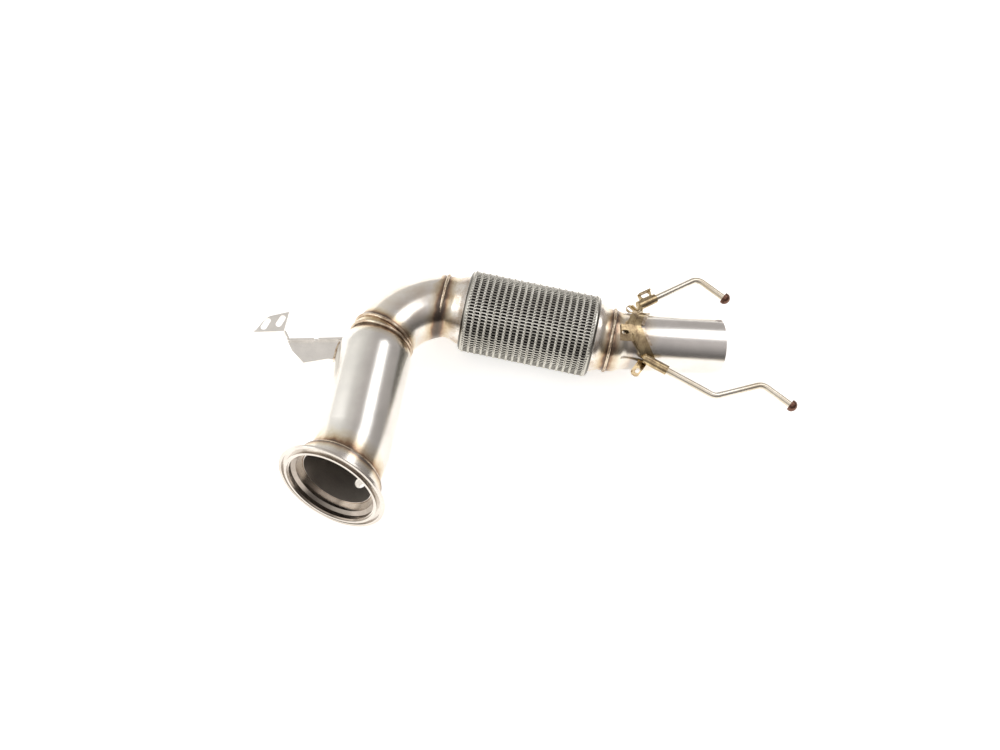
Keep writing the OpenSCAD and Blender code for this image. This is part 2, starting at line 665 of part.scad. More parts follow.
module foot() {
    difference() {
        rotate([0, 0, 90 + foot_angle - foot_spread]) rotate_extrude(angle = 2 * foot_spread) {
            translate([swage_r + 0.2, saddle_station - foot_length]) square([2, foot_length + 1.3]);
            translate([outlet_r + 0.7, saddle_station - 0.9]) square([swage_r - outlet_r + 1, 2.1]);
            translate([outlet_r + 0.7, saddle_station]) square([2.1, 8]);
        }
        rotate([0, 0, foot_angle]) translate([0, outlet_r - 5, saddle_station - foot_length / 2 - 1])
            rotate([-90, 0, 0]) linear_extrude(20) rotate(90) oval(foot_length - 3, 5);
    }
}
// A rolled sleeve around a rod, joined to the pressed bead of its strap
module sleeve(side) {
    anchor = side < 0 ? near_anchor : far_anchor;
    rod_line(anchor, side * rod_splay, -4, side < 0 ? near_sleeve : far_sleeve, sleeve_r);
    link(on_tube(side, outlet_r, press_reach - 6, press_mid),
         [anchor[0], rod_height, anchor[1]], press_r);
}
// The slotted wing with its lip beside the far sleeve
module wing() {
    t = saddle_sheet;
    translate([far_anchor[0], rod_height, far_anchor[1]]) rotate([0, rod_splay, 0]) difference() {
        union() {
            plate(0, t) polygon([[0, 1], [wing_width, 4], [wing_width, far_sleeve + 2],
                                 [0, far_sleeve - 4]]);
            translate([wing_width - t, -t / 2, 5]) cube([t, 5, far_sleeve - 4]);
        }
        plate(0, 3 * t) translate([(sleeve_r + wing_width - t) / 2 + 0.2, far_sleeve / 2 + 2])
            rotate(90) oval(12, min(5, wing_width - t - sleeve_r - 1));
    }
}
module hanger_saddle() {
    color(STEEL) anchored() {
        difference() {
            union() {
                foot();
                strap(0);
                for (side = [-1, 1]) {
                    strap(side);
                    difference() {
                        sleeve(side);
                        translate([0, 0, -1]) cylinder(h = 120, r = outlet_r + 0.5);
                    }
                }
                wing();
                difference() {
                    union() {
                        ear(near_root, 180 + 54, 10, near_ear, near_ear - 9);
                        ear(far_root, 132, 20, far_ear, far_ear - 5);
                    }
                    translate([0, 0, -1]) cylinder(h = 120, r = outlet_r + 0.5);
                }
            }
            for (side = [-1, 1]) {
                anchor = side < 0 ? near_anchor : far_anchor;
                open = side < 0 ? near_sleeve : far_sleeve;
                rod_line(anchor, side * rod_splay, -2, open + 5, rod_r);
                rod_line(anchor, side * rod_splay, open - 2.5, open + 5, rod_r + 1);
            }
        }
    }
}

// Welds along the downstream edge of the strap
module saddle_weld(side) {
    color(TINT) anchored() {
        band(side, edge_mid, weld_width, 3, 38, outlet_r, outlet_r + 1.3);
        band(side, edge_mid - lean * 0.6, weld_width - 1.2, 4, 37, outlet_r + 0.6, outlet_r + 1.9);
    }
}
module near_saddle_weld() { saddle_weld(-1); }
module far_saddle_weld() { saddle_weld(1); }

// Hanger rods
function inset(a, b) = rod_bend_r * tan(abs(a - b) / 2);
module knee(p, a, next) {
    translate([p[0], rod_height, p[1]]) rotate([0, a, 0]) translate([0, 0, -inset(a, next)])
        rotate([0, 0, next < a ? 180 : 0]) arc(rod_r - SKIN, 0, rod_bend_r, abs(a - next));
}
module far_hanger_rod() {
    cut = inset(rod_splay, -peg_angle) - LAP;
    color(STEEL) anchored() {
        rod_line(far_anchor, rod_splay, -2, far_run - cut, rod_r);
        knee(far_knee, rod_splay, -peg_angle);
        rod_line(far_knee, -peg_angle, cut, peg_length, rod_r);
    }
}
module near_hanger_rod() {
    cut = inset(-rod_splay, step_angle) - LAP;
    cut2 = inset(step_angle, -peg_angle) - LAP;
    color(STEEL) anchored() {
        rod_line(near_anchor, -rod_splay, -2, near_run - cut, rod_r);
        knee(near_knee, -rod_splay, step_angle);
        rod_line(near_knee, step_angle, cut, near_step - cut2, rod_r);
        knee(near_heel, step_angle, -peg_angle);
        rod_line(near_heel, -peg_angle, cut2, peg_length, rod_r);
    }
}

// A mushroom cap over the end of a peg
module cap() {
    brim = cap_brim - cap_seat;
    difference() {
        union() {
            translate([0, 0, -cap_seat]) cylinder(h = cap_brim, r = cap_d / 2);
            intersection() {
                translate([0, 0, peg_tip - cap_ball]) sphere(cap_ball);
                translate([0, 0, brim]) cylinder(h = cap_dome + 1, r = cap_d / 2);
            }
        }
        translate([0, 0, -cap_seat - 1]) cylinder(h = cap_seat + 1, r = rod_r);
    }
}
module far_rod_cap() { color("sienna") place(rod_frame(far_end, -peg_angle)) cap(); }
module near_rod_cap() { color("sienna") place(rod_frame(near_end, -peg_angle)) cap(); }

// Side support
module front_body() {
    sphere(front_r + SEAT);
    cylinder(h = 60, r = front_r + SEAT);
}
// A strip that stands on edge from p to q, between two heights, with its thickness to the left.
module upright_strip(p, q, y0, y1) {
    v = q - p;
    translate([p[0], y0, p[1]]) rotate([0, atan2(v[0], v[1]), 0])
        cube([support_sheet, y1 - y0, norm(v)]);
}
module side_support() {
    t = support_sheet;
    root_z = -arm_start;
    color(STEEL) place(support) difference() {
        union() {
            difference() {
                plate(0, t) polygon([[-20, root_z - (front_r - 20) * tan(arm_sweep)], arm_out,
                                     arm_out + [9, 13], arm_low, [-front_r - 8, root_z + arm_width],
                                     [-20, root_z + arm_width]]);
                front_body();
            }
            // Lip along the far edge, with its small notch
            difference() {
                upright_strip([-front_r + 4, root_z - 4 * tan(arm_sweep)], arm_out,
                              -t / 2, t / 2 + arm_lip);
                front_body();
            }
            plate(tab_rise, t) difference() {
                polygon([tab_in, tab_out, tab_top + [1, 5.5], tab_top + [6, 0], tab_far]);
                for (s = [-1, 1]) translate(slot_mid + s * slot_step) rotate(90 + tab_lean)
                    oval(slot_length, slot_width);
            }
            upright_strip(tab_out, tab_in, tab_rise - web_height, tab_rise + t / 2);
            upright_strip(tab_in, arm_out + [0.7, 1], tab_rise - web_height, tab_rise + t / 2);
        }
        translate([-front_r - 30, t / 2 + 1, -40]) cube([5, 20, 60]);
    }
}

// Weld along the arm's root, straight on the tube and around its dome.
module side_support_weld() {
    h = support_sheet / 2;
    color(TINT) place(support) difference() {
        for (s = [-1, 1]) translate([-front_r - 0.4, s * (h + bead_r * 0.6), 0]) {
            translate([0, 0, -LAP]) cylinder(h = arm_width - arm_start + LAP, r = bead_r, $fn = 32);
            rotate([180, 0, 0]) arc(bead_r - SKIN, 0, front_r + 0.4, asin((arm_start - 6) / front_r));
        }
        front_body();
        translate([-front_r - 9, -h, -60]) cube([30, 2 * h, 100]);
    }
}

turbo_flange();
flange_weld();
front_tube();
sensor_boss();
sensor_boss_weld();
lower_neck_weld();
neck_ring();
upper_neck_weld();
elbow();
elbow_weld();
inlet_collar();
inlet_end_ring();
flex_braid();
flex_bellows();
flex_liner();
outlet_end_ring();
outlet_collar();
outlet_weld();
outlet_tube();
hanger_saddle();
near_saddle_weld();
far_saddle_weld();
far_hanger_rod();
near_hanger_rod();
far_rod_cap();
near_rod_cap();
side_support();
side_support_weld();
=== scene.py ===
"""Looks of the turbo downpipe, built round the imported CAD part.

Lengths are millimetres where nothing else is said, and noise scales are cells in a metre.
"""
import sys
import logging
import math
from collections.abc import Callable
from dataclasses import dataclass
from enum import Enum

import bmesh
import bpy
from mathutils import Euler, Matrix, Vector


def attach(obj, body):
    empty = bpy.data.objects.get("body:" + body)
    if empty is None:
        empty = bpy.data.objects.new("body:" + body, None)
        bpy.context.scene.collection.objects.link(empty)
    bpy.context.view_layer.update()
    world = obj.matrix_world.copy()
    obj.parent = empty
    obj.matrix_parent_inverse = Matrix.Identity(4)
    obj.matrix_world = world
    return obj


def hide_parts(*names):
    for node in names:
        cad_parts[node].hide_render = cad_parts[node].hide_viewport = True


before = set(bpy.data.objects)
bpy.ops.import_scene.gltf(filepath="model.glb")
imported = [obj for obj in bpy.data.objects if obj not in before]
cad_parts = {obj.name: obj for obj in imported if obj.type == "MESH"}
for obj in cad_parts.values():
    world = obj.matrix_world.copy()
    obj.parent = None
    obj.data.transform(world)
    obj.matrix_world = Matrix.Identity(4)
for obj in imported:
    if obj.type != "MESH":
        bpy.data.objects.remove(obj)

MM = 0.001
BODY = "root"
log = logging.getLogger("downpipe")

Colour = tuple[float, float, float]
Triple = tuple[float, float, float]
Outline = list[tuple[float, float]]
Stops = tuple[tuple[float, Colour], ...]
Socket = bpy.types.NodeSocket

# Points of a CAD mesh that are one point, and the two ends of a spun outline, lie this close.
CAD_MERGE = 0.0005
SPIN_MERGE = 0.01
# A face looks inwards when the cosine between its direction and the way to the middle is larger.
INWARDS = 0.5

DULL_SHARE = 0.86  # of the clean colour, where a finish names no dull one
NOISE_SPAN = (0.3, 0.7)  # where most of a noise lies
CLOUD_EDGE = (0.35, 0.65)  # of the mottle, from dull to clean
GLOSS_RANGE = (1.12, 0.9)  # of the roughness, from dull to clean
BUMP_STRENGTH = 0.5
LINE_PITCH = 0.8  # between turned lines
FRONT_BARE_R = 43.5
OUTLET_BARE_R = 34.0

WHITE: Colour = (1.0, 1.0, 1.0)
# Painted shade: the near-black colour laid in the hollows of the braid
HOLLOW_SHADE_COLOUR: Colour = (0.10, 0.095, 0.085)
STAINLESS: Colour = (0.80, 0.78, 0.75)


@dataclass(frozen=True)
class Seam:
    """A round seam of the pipe: its middle and the pipe's direction there."""

    at: Triple
    axis: Triple

    def centre(self) -> Vector:
        """The middle in metres."""
        return Vector(self.at) * MM

    def placing(self) -> Matrix:
        """The frame whose Z runs along the pipe at the seam."""
        turn = Vector((0, 0, 1)).rotation_difference(Vector(self.axis).normalized())
        return Matrix.Translation(self.centre()) @ turn.to_matrix().to_4x4()


INLET_FACE = Seam((-190.103, -186.991, 65.853), (-0.22038, -0.961707, 0.162952))
HUB_SEAM = Seam((-184.594, -162.949, 61.780), (-0.22038, -0.961707, 0.162952))
FRONT_TUBE = Seam((-180.097, -113.26, 57.697), (0.0429255, -0.999077, -0.00185))
LOWER_NECK = Seam((-181.746, 17.368, 57.082), (-0.110355, -0.993401, 0.031255))
UPPER_NECK = Seam((-180.162, 24.688, 56.685), (-0.34202, -0.936201, 0.080934))
ELBOW_MIDDLE = Seam((-157.804, 64.768, 53.22), (-0.67559, -0.734538, 0.0635))
ELBOW_SEAM = Seam((-119.676, 90.452, 51.0), (-1.0, 0.0, 0.0))
BRAID_START = Seam((-92.176, 90.452, 51.0), (1.0, 0.0, 0.0))
OUTLET_SEAM = Seam((90.324, 90.452, 51.0), (1.0, 0.0, 0.0))
OUTLET_END = Seam((226.651, 122.197, 38.852), (0.970296, 0.225943, -0.086464))
STRAP_PLANE = Seam((118.0, 97.0, 48.6), (0.970296, 0.225943, -0.086464))
SENSOR_TOP = Seam((-158.786, -154.681, 11.849), (0.426672, -0.155226, -0.890986))

# Middle lines of the pieces whose inside gets painted shade
FLANGE_LINE = ((-191.2, -191.8, 66.67), HUB_SEAM.at)
FRONT_LINE = (HUB_SEAM.at, FRONT_TUBE.at, (-184.604, -8.357, 57.892), LOWER_NECK.at)
OUTLET_LINE = (OUTLET_SEAM.at, OUTLET_END.at)


class Grain(Enum):
    """How the surface of a metal piece was worked."""

    TURNED = "turned"
    DRAWN = "drawn"
    PRESSED = "pressed"
    RIPPLED = "rippled"


class MeshPart(Enum):
    """What pick selects of a mesh."""

    VERTS = "verts"
    FACES = "faces"


class Kind(Enum):
    """Socket types of a node group."""

    VECTOR = "NodeSocketVector"
    NUMBER = "NodeSocketFloat"
    COLOUR = "NodeSocketColor"


class Graph:
    """A node tree with short ways to add and join nodes."""

    def __init__(self, tree: bpy.types.NodeTree) -> None:
        """Take a tree to add to.

        Args:
            tree: the node tree.
        """
        self.tree = tree

    def node(self, kind: str, **settings: object) -> bpy.types.Node:
        """Add a node.

        Args:
            kind: its Blender type.
            settings: properties to set on it.

        Returns:
            The new node.
        """
        made = self.tree.nodes.new(kind)
        for name, value in settings.items():
            setattr(made, name, value)
        return made

    def feed(self, socket: Socket, value: object) -> None:
        """Link or set an input socket.

        Args:
            socket: the input.
            value: another socket, or a plain value.
        """
        if isinstance(value, bpy.types.NodeSocket):
            self.tree.links.new(value, socket)
        else:
            socket.default_value = value

    def maths(self, operation: str, *values: object) -> Socket:
        """Add a Math node.

        Args:
            operation: its operation.
            values: sockets or numbers for its inputs.

        Returns:
            Its result.
        """
        made = self.node("ShaderNodeMath", operation=operation)
        for socket, value in zip(made.inputs, values):
            self.feed(socket, value)
        return made.outputs[0]

    def vector(self, operation: str, *values: object, scale: object = None) -> Socket:
        """Add a Vector Math node.

        Args:
            operation: its operation.
            values: sockets or triples for its vector inputs.
            scale: the factor of a SCALE node.

        Returns:
            Its vector, or its number where the operation gives one.
        """
        made = self.node("ShaderNodeVectorMath", operation=operation)
        for socket, value in zip(made.inputs, values):
            self.feed(socket, value)
        if scale is not None:
            self.feed(made.inputs["Scale"], scale)
        return made.outputs["Value" if operation in ("DOT_PRODUCT", "LENGTH") else "Vector"]

    def off_axis(self, offset: Socket, axis: object) -> Socket:
        """Measure how far a point is from an axis.

        Args:
            offset: the point, seen from a point of the axis.
            axis: the direction of the axis.

        Returns:
            The distance.
        """
        return self.vector("LENGTH", self.vector("CROSS_PRODUCT", offset, axis))

    def noise(self, point: object, scale: object, detail: float = 3.0) -> Socket:
        """Add a Noise node.

        Args:
            point: the coordinates.
            scale: cells in a unit of them.
            detail: octaves.

        Returns:
            Its value from 0 to 1.
        """
        made = self.node("ShaderNodeTexNoise")
        self.feed(made.inputs["Vector"], point)
        self.feed(made.inputs["Scale"], scale)
        made.inputs["Detail"].default_value = detail
        return made.outputs["Fac"]

    def mapped(self, value: object, low: object, high: object,
               to_low: float, to_high: float) -> Socket:
        """Add a Map Range node.

        Args:
            value: the number to map.
            low: start of its range.
            high: end of its range.
            to_low: result at the start.
            to_high: result at the end.

        Returns:
            The mapped number.
        """
        made = self.node("ShaderNodeMapRange")
        for name, given in (("Value", value), ("From Min", low), ("From Max", high),
                            ("To Min", to_low), ("To Max", to_high)):
            self.feed(made.inputs[name], given)
        return made.outputs["Result"]

    def mix(self, factor: object, first: object, second: object) -> Socket:
        """Mix two colours.

        Args:
            factor: share of the second.
            first: a colour or its socket.
            second: a colour or its socket.

        Returns:
            The mixed colour.
        """
        made = self.node("ShaderNodeMix", data_type="RGBA")
        self.feed(made.inputs["Factor"], factor)
        for socket, value in ((made.inputs[6], first), (made.inputs[7], second)):
            self.feed(socket, (*value, 1.0) if isinstance(value, tuple) else value)
        return made.outputs[2]

    def ramp(self, value: object, stops: Stops) -> Socket:
        """Add a colour ramp.

        Args:
            value: where to read it.
            stops: places and colours, in order.

        Returns:
            The colour.
        """
        made = self.node("ShaderNodeValToRGB")
        self.feed(made.inputs["Fac"], value)
        marks = made.color_ramp.elements
        while len(marks) < len(stops):
            marks.new(1.0)
        for mark, (place, colour) in zip(marks, stops):
            mark.position = place
            mark.color = (*colour, 1.0)
        return made.outputs["Color"]

    def group(self, tree: bpy.types.NodeTree, **values: object) -> Socket:
        """Place a node group.

        Args:
            tree: the group.
            values: its inputs by name, with _ for a space.

        Returns:
            Its first output.
        """
        made = self.node("ShaderNodeGroup")
        made.node_tree = tree
        for name, value in values.items():
            self.feed(made.inputs[name.replace("_", " ")], value)
        return made.outputs[0]


def new_group(name: str, result: str, kind: Kind,
              **inputs: Kind) -> tuple[Graph, dict[str, Socket], Socket]:
    """Start a shader node group.

    Args:
        name: the group's name.
        result: name of its one output.
        kind: socket type of the output.
        inputs: socket types by name, with _ for a space.

    Returns:
        Its graph, its inputs by the names given, and the socket that takes the result.
    """
    tree = bpy.data.node_groups.new(name, "ShaderNodeTree")
    labels = {key: key.replace("_", " ") for key in inputs}
    for key, socket_kind in inputs.items():
        tree.interface.new_socket(labels[key], in_out="INPUT", socket_type=socket_kind.value)
    tree.interface.new_socket(result, in_out="OUTPUT", socket_type=kind.value)
    graph = Graph(tree)
    start, end = graph.node("NodeGroupInput"), graph.node("NodeGroupOutput")
    return graph, {key: start.outputs[label] for key, label in labels.items()}, end.inputs[result]


class Effects:
    """The shared effects, each a node group built once.

    Attributes:
        HEAT_COLOURS: colours of heated steel, by distance from the seam as a share of the reach.
        HEAT_FADE: the shares between which the heat colour goes away.
        HEAT_SCALE, HEAT_UNEVEN: noise that moves the heat colours, and how far in shares.
        STRETCH: how far streaks are drawn out, 1 for endless ones.
        STREAK_SCALE, SPECK_SCALE, RIPPLE_SCALE: noise scales.
        CLOUD_SHARE: share of the clouds in the mottle. Specks take the rest.
    """

    HEAT_COLOURS: Stops = ((0.0, (0.05, 0.03, 0.02)), (0.22, (0.11, 0.065, 0.04)),
                           (0.32, (0.28, 0.165, 0.09)), (0.48, (0.47, 0.34, 0.18)),
                           (1.0, (0.79, 0.70, 0.47)))
    HEAT_FADE: tuple[float, float] = (0.3, 1.05)
    HEAT_SCALE: float = 70.0
    HEAT_UNEVEN: float = 0.12
    STRETCH: float = 0.97
    STREAK_SCALE: float = 900.0
    SPECK_SCALE: float = 650.0
    RIPPLE_SCALE: float = 520.0
    CLOUD_SHARE: float = 0.7

    def __init__(self) -> None:
        """Build every group."""
        self.heat = self.heat_tint()
        self.turned = self.turned_lines()
        self.drawn = self.drawn_grain()
        self.mottle = self.surface_mottle()
        self.ripple = self.bead_ripple()
        self.recess = self.recess_shade()

    def heat_tint(self) -> bpy.types.NodeTree:
        """Colour that welding leaves beside a seam.

        Returns:
            A group that turns steel to straw, copper and brown near a plane.
        """
        graph, given, result = new_group(
            "heat_tint", "Color", Kind.COLOUR, Steel=Kind.COLOUR, Point=Kind.VECTOR,
            Weld=Kind.VECTOR, Axis=Kind.VECTOR, Reach=Kind.NUMBER, Depth=Kind.NUMBER,
            Bare_radius=Kind.NUMBER)
        offset = graph.vector("SUBTRACT", given["Point"], given["Weld"])
        away = graph.maths("ABSOLUTE", graph.vector("DOT_PRODUCT", offset, given["Axis"]))
        uneven = graph.mapped(graph.noise(given["Point"], self.HEAT_SCALE), *NOISE_SPAN,
                              -self.HEAT_UNEVEN, self.HEAT_UNEVEN)
        place = graph.maths("ADD", graph.maths("DIVIDE", away, given["Reach"]), uneven)
        colour = graph.ramp(place, self.HEAT_COLOURS)
        outside = graph.maths("GREATER_THAN", graph.off_axis(offset, given["Axis"]),
                              given["Bare_radius"])
        weight = graph.maths("MULTIPLY", graph.mapped(place, *self.HEAT_FADE, 1.0, 0.0),
                             given["Depth"])
        weight = graph.maths("MULTIPLY", weight, outside)
        graph.feed(result, graph.mix(weight, given["Steel"], colour))
        return graph.tree

    def turned_lines(self) -> bpy.types.NodeTree:
        """Fine lines that a lathe leaves round an axis.

        Returns:
            A group whose value varies with the distance from and along the axis.
        """
        graph, given, result = new_group(
            "turned_lines", "Height", Kind.NUMBER, Point=Kind.VECTOR, Centre=Kind.VECTOR,
            Axis=Kind.VECTOR, Pitch=Kind.NUMBER)
        offset = graph.vector("SUBTRACT", given["Point"], given["Centre"])
        along = graph.vector("DOT_PRODUCT", offset, given["Axis"])
        around = graph.off_axis(offset, given["Axis"])
        both = graph.node("ShaderNodeCombineXYZ")
        graph.feed(both.inputs["X"], graph.maths("DIVIDE", around, given["Pitch"]))
        graph.feed(both.inputs["Y"], graph.maths("DIVIDE", along, given["Pitch"]))
        graph.feed(result, graph.noise(both.outputs[0], 1.0, detail=2.0))
        return graph.tree

    def drawn_grain(self) -> bpy.types.NodeTree:
        """Fine streaks along a direction.

        Returns:
            A group whose value is noise drawn out along the axis.
        """
        graph, given, result = new_group(
            "drawn_grain", "Height", Kind.NUMBER, Point=Kind.VECTOR, Axis=Kind.VECTOR)
        along = graph.vector("DOT_PRODUCT", given["Point"], given["Axis"])
        drawn = graph.vector("SCALE", given["Axis"],
                             scale=graph.maths("MULTIPLY", along, self.STRETCH))
        squeezed = graph.vector("SUBTRACT", given["Point"], drawn)
        graph.feed(result, graph.noise(squeezed, self.STREAK_SCALE, detail=2.0))
        return graph.tree

    def surface_mottle(self) -> bpy.types.NodeTree:
        """Soft clouding and fine specks of a handled metal surface.

        Returns:
            A group whose value runs from 0 to 1.
        """
        graph, given, result = new_group(
            "surface_mottle", "Value", Kind.NUMBER, Point=Kind.VECTOR, Scale=Kind.NUMBER)
        cloud = graph.noise(given["Point"], given["Scale"], detail=4.0)
        specks = graph.noise(given["Point"], self.SPECK_SCALE, detail=2.0)
        graph.feed(result, graph.maths(
            "ADD", graph.maths("MULTIPLY", cloud, self.CLOUD_SHARE),
            graph.maths("MULTIPLY", specks, 1.0 - self.CLOUD_SHARE)))
        return graph.tree

    def bead_ripple(self) -> bpy.types.NodeTree:
        """Small waves and spatter of a hand laid weld.

        Returns:
            A group whose value is a fine uneven ripple.
        """
        graph, given, result = new_group("bead_ripple", "Height", Kind.NUMBER, Point=Kind.VECTOR)
        graph.feed(result, graph.noise(given["Point"], self.RIPPLE_SCALE, detail=2.0))
        return graph.tree

    def recess_shade(self) -> bpy.types.NodeTree:
        """Painted shade in the hollows of a round piece, fading out towards its crests.

        Returns:
            A group whose value is 1 in the hollows and 0 on the crests.
        """
        graph, given, result = new_group(
            "recess_shade", "Value", Kind.NUMBER, Point=Kind.VECTOR, Centre=Kind.VECTOR,
            Axis=Kind.VECTOR, Hollow_radius=Kind.NUMBER, Crest_radius=Kind.NUMBER)
        offset = graph.vector("SUBTRACT", given["Point"], given["Centre"])
        around = graph.off_axis(offset, given["Axis"])
        graph.feed(result, graph.mapped(around, given["Hollow_radius"], given["Crest_radius"],
                                        1.0, 0.0))
        return graph.tree


@dataclass(frozen=True)
class Tint:
    """Heat colour beside one weld.

    Attributes:
        weld: the seam.
        reach: how far the colour runs along the pipe.
        depth: how strong it is, from 0 to 1.
        bare_r: nearer to the axis than this, inside the pipe, there is none.
    """

    weld: Seam
    reach: float = 14.0
    depth: float = 0.9
    bare_r: float = 37.2


@dataclass(frozen=True)
class MetalFinish:
    """A metal surface: its colour, gloss, working marks and heat colours.

    Attributes:
        name: the material's name.
        colour: its clean colour.
        roughness: of the shader.
        grain: how it was worked.
        axis: where the marks and the hollows run round or along.
        relief: height of the marks.
        tints: heat colours on it.
        shade: its dull colour, or none for a share of the clean one.
        hollow: radii between which the painted shade of the hollows fades, or none without
            painted shade.
        cloud: noise scale of the change between clean and dull.
        metallic: of the shader.
    """

    name: str
    colour: Colour
    roughness: float = 0.2
    grain: Grain = Grain.DRAWN
    axis: Seam = BRAID_START
    relief: float = 0.03
    tints: tuple[Tint, ...] = ()
    shade: Colour | None = None
    hollow: tuple[float, float] | None = None
    cloud: float = 28.0
    metallic: float = 1.0

    def make(self, effects: Effects) -> bpy.types.Material:
        """Build the material.

        Args:
            effects: the shared node groups.

        Returns:
            The material, ready for a slot.
        """
        material = bpy.data.materials.new(self.name)
        material.use_nodes = True
        graph = Graph(material.node_tree)
        surface = material.node_tree.nodes["Principled BSDF"]
        point = graph.node("ShaderNodeTexCoord").outputs["Object"]
        cloud = graph.group(effects.mottle, Point=point, Scale=self.cloud)
        dull = self.shade or tuple(DULL_SHARE * part for part in self.colour)
        colour = graph.mix(graph.mapped(cloud, *CLOUD_EDGE, 0.0, 1.0), dull, self.colour)
        # Painted shade: darker towards the axis, in the hollows between the ribs
        if self.hollow:
            painted_shade = graph.group(effects.recess, Point=point, Centre=tuple(self.axis.centre()),
                               Axis=self.axis.axis, Hollow_radius=self.hollow[0] * MM,
                               Crest_radius=self.hollow[1] * MM)
            colour = graph.mix(painted_shade, colour, HOLLOW_SHADE_COLOUR)
        for tint in self.tints:
            colour = graph.group(effects.heat, Steel=colour, Point=point,
                                 Weld=tuple(tint.weld.centre()), Axis=tint.weld.axis,
                                 Reach=tint.reach * MM, Depth=tint.depth,
                                 Bare_radius=tint.bare_r * MM)
        graph.feed(surface.inputs["Base Color"], colour)
        surface.inputs["Metallic"].default_value = self.metallic
        dullest, glossiest = (self.roughness * share for share in GLOSS_RANGE)
        graph.feed(surface.inputs["Roughness"],
                   graph.mapped(cloud, *NOISE_SPAN, dullest, glossiest))
        bump = graph.node("ShaderNodeBump")
        bump.inputs["Strength"].default_value = BUMP_STRENGTH
        bump.inputs["Distance"].default_value = self.relief * MM
        graph.feed(bump.inputs["Height"], self.marks(graph, effects, point))
        graph.feed(surface.inputs["Normal"], bump.outputs["Normal"])
        return material

    def marks(self, graph: Graph, effects: Effects, point: Socket) -> Socket:
        """Place the group of the working marks.

        Args:
            graph: the material's graph.
            effects: the shared node groups.
            point: Object coordinates.

        Returns:
            The height of the marks.
        """
        if self.grain is Grain.TURNED:
            return graph.group(effects.turned, Point=point, Centre=tuple(self.axis.centre()),
                               Axis=self.axis.axis, Pitch=LINE_PITCH * MM)
        if self.grain is Grain.DRAWN:
            return graph.group(effects.drawn, Point=point, Axis=self.axis.axis)
        if self.grain is Grain.RIPPLED:
            return graph.group(effects.ripple, Point=point)
        return graph.group(effects.mottle, Point=point, Scale=self.cloud)


FLANGE = MetalFinish(
    "turned_flange", (0.74, 0.71, 0.67), 0.2, Grain.TURNED, INLET_FACE,
    tints=(Tint(HUB_SEAM, 9.0, depth=0.8, bare_r=FRONT_BARE_R),), shade=(0.58, 0.54, 0.50))
FRONT = MetalFinish(
    "front_tube_steel", STAINLESS, 0.22, Grain.DRAWN, FRONT_TUBE, relief=0.0015,
    tints=(Tint(HUB_SEAM, 27.0, depth=0.95, bare_r=FRONT_BARE_R), Tint(LOWER_NECK, 16.0)))
RING = MetalFinish(
    "neck_ring_steel", STAINLESS, 0.27, Grain.TURNED, LOWER_NECK, relief=0.003,
    tints=(Tint(LOWER_NECK, 11.0), Tint(UPPER_NECK, 11.0)))
BEND = MetalFinish(
    "elbow_steel", STAINLESS, 0.22, Grain.DRAWN, ELBOW_MIDDLE, relief=0.0015,
    tints=(Tint(UPPER_NECK, 14.0), Tint(ELBOW_SEAM, 16.0)), shade=(0.68, 0.61, 0.53), cloud=42.0)
INLET_COLLAR = MetalFinish(
    "inlet_collar_steel", STAINLESS, 0.24, Grain.TURNED, BRAID_START, relief=0.003,
    tints=(Tint(ELBOW_SEAM, 16.0),), shade=(0.52, 0.43, 0.34), cloud=60.0)
OUTLET_COLLAR = MetalFinish(
    "outlet_collar_steel", STAINLESS, 0.24, Grain.TURNED, BRAID_START, relief=0.003,
    tints=(Tint(OUTLET_SEAM, 14.0),), shade=(0.54, 0.45, 0.36), cloud=60.0)
OUTLET = MetalFinish(
    "outlet_steel", (0.81, 0.79, 0.77), 0.22, Grain.DRAWN, OUTLET_END, relief=0.001,
    tints=(Tint(OUTLET_SEAM, 18.0, depth=0.9, bare_r=OUTLET_BARE_R),
           Tint(STRAP_PLANE, 24.0, depth=0.5, bare_r=OUTLET_BARE_R)))
BEAD = MetalFinish(
    "weld_bead", (0.70, 0.62, 0.50), 0.24, Grain.RIPPLED, relief=0.25, shade=(0.36, 0.25, 0.17),
    cloud=140.0)
BOSS = MetalFinish(
    "boss_steel", (0.74, 0.72, 0.69), 0.25, Grain.TURNED, SENSOR_TOP, relief=0.05)
# The hollow radii lay painted shade in the braid's hollows
WIRE = MetalFinish(
    "braid_wire", (0.63, 0.62, 0.575), 0.24, Grain.PRESSED, relief=0.02, shade=(0.46, 0.45, 0.41),
    hollow=(49.6, 50.0))
END_RING = MetalFinish(
    "end_ring_steel", STAINLESS, 0.28, Grain.TURNED, BRAID_START, relief=0.003)
# Painted shade: the bellows is coloured near black so that the braid's slots read as shade
BELLOWS_SHADE = MetalFinish("bellows_steel", (0.055, 0.052, 0.048), 0.55, Grain.PRESSED)
LINER = MetalFinish(
    "liner_steel", (0.55, 0.54, 0.52), 0.32, Grain.TURNED, BRAID_START, relief=0.05)
SADDLE = MetalFinish(
    "saddle_sheet", (0.60, 0.48, 0.29), 0.2, Grain.PRESSED, relief=0.02,
    shade=(0.20, 0.14, 0.085), cloud=85.0)
ROD = MetalFinish(
    "rod_steel", (0.72, 0.69, 0.63), 0.27, Grain.PRESSED, relief=0.015, shade=(0.58, 0.50, 0.38))
CAP = MetalFinish(
    "cap_steel", (0.20, 0.105, 0.075), 0.3, Grain.PRESSED, relief=0.05, shade=(0.12, 0.065, 0.05))
ARM = MetalFinish("arm_sheet", (0.95, 0.93, 0.89), 0.34, Grain.PRESSED, relief=0.02, cloud=70.0)
# Painted shade: a darker, partly diffuse copy of the steel for the walls inside the pipes
INSIDE_SHADE = MetalFinish(
    "tube_inside_shade", (0.48, 0.44, 0.40), 0.34, Grain.PRESSED, relief=0.02,
    shade=(0.34, 0.305, 0.275), metallic=0.7)
